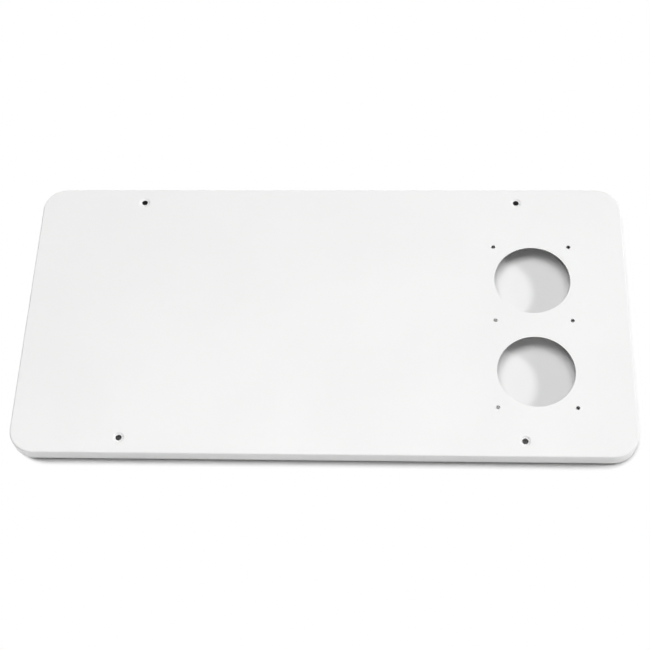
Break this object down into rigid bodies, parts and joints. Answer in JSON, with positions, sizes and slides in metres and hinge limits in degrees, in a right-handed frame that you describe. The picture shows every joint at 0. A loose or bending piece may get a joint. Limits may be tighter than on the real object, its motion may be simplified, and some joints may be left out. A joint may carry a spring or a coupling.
{
  "type": "rv furnace access door",
  "caption": "Shallow white pressed-steel access door for a camper furnace, with rounded corners, round flue openings, dished screw holes and a foam seal inside its rim.",
  "frame": {"origin": "centre of the plane in which the foam seal meets the wall, under the middle of the door", "axes": "+X along the door towards the end with the flue openings, +Y up the wall in service, +Z out of the wall; the door lies face up on its seal"},
  "size_m": [0.6096, 0.306, 0.0159],
  "materials": {
    "white_enamel": "smooth white baked enamel on steel sheet, half gloss",
    "seal_foam": "closed-cell foam tape, matt dark grey"
  },
  "bodies": {
    "root": {"door_panel": "white_enamel", "rim_seal": "seal_foam"}
  },
  "joints": []
}
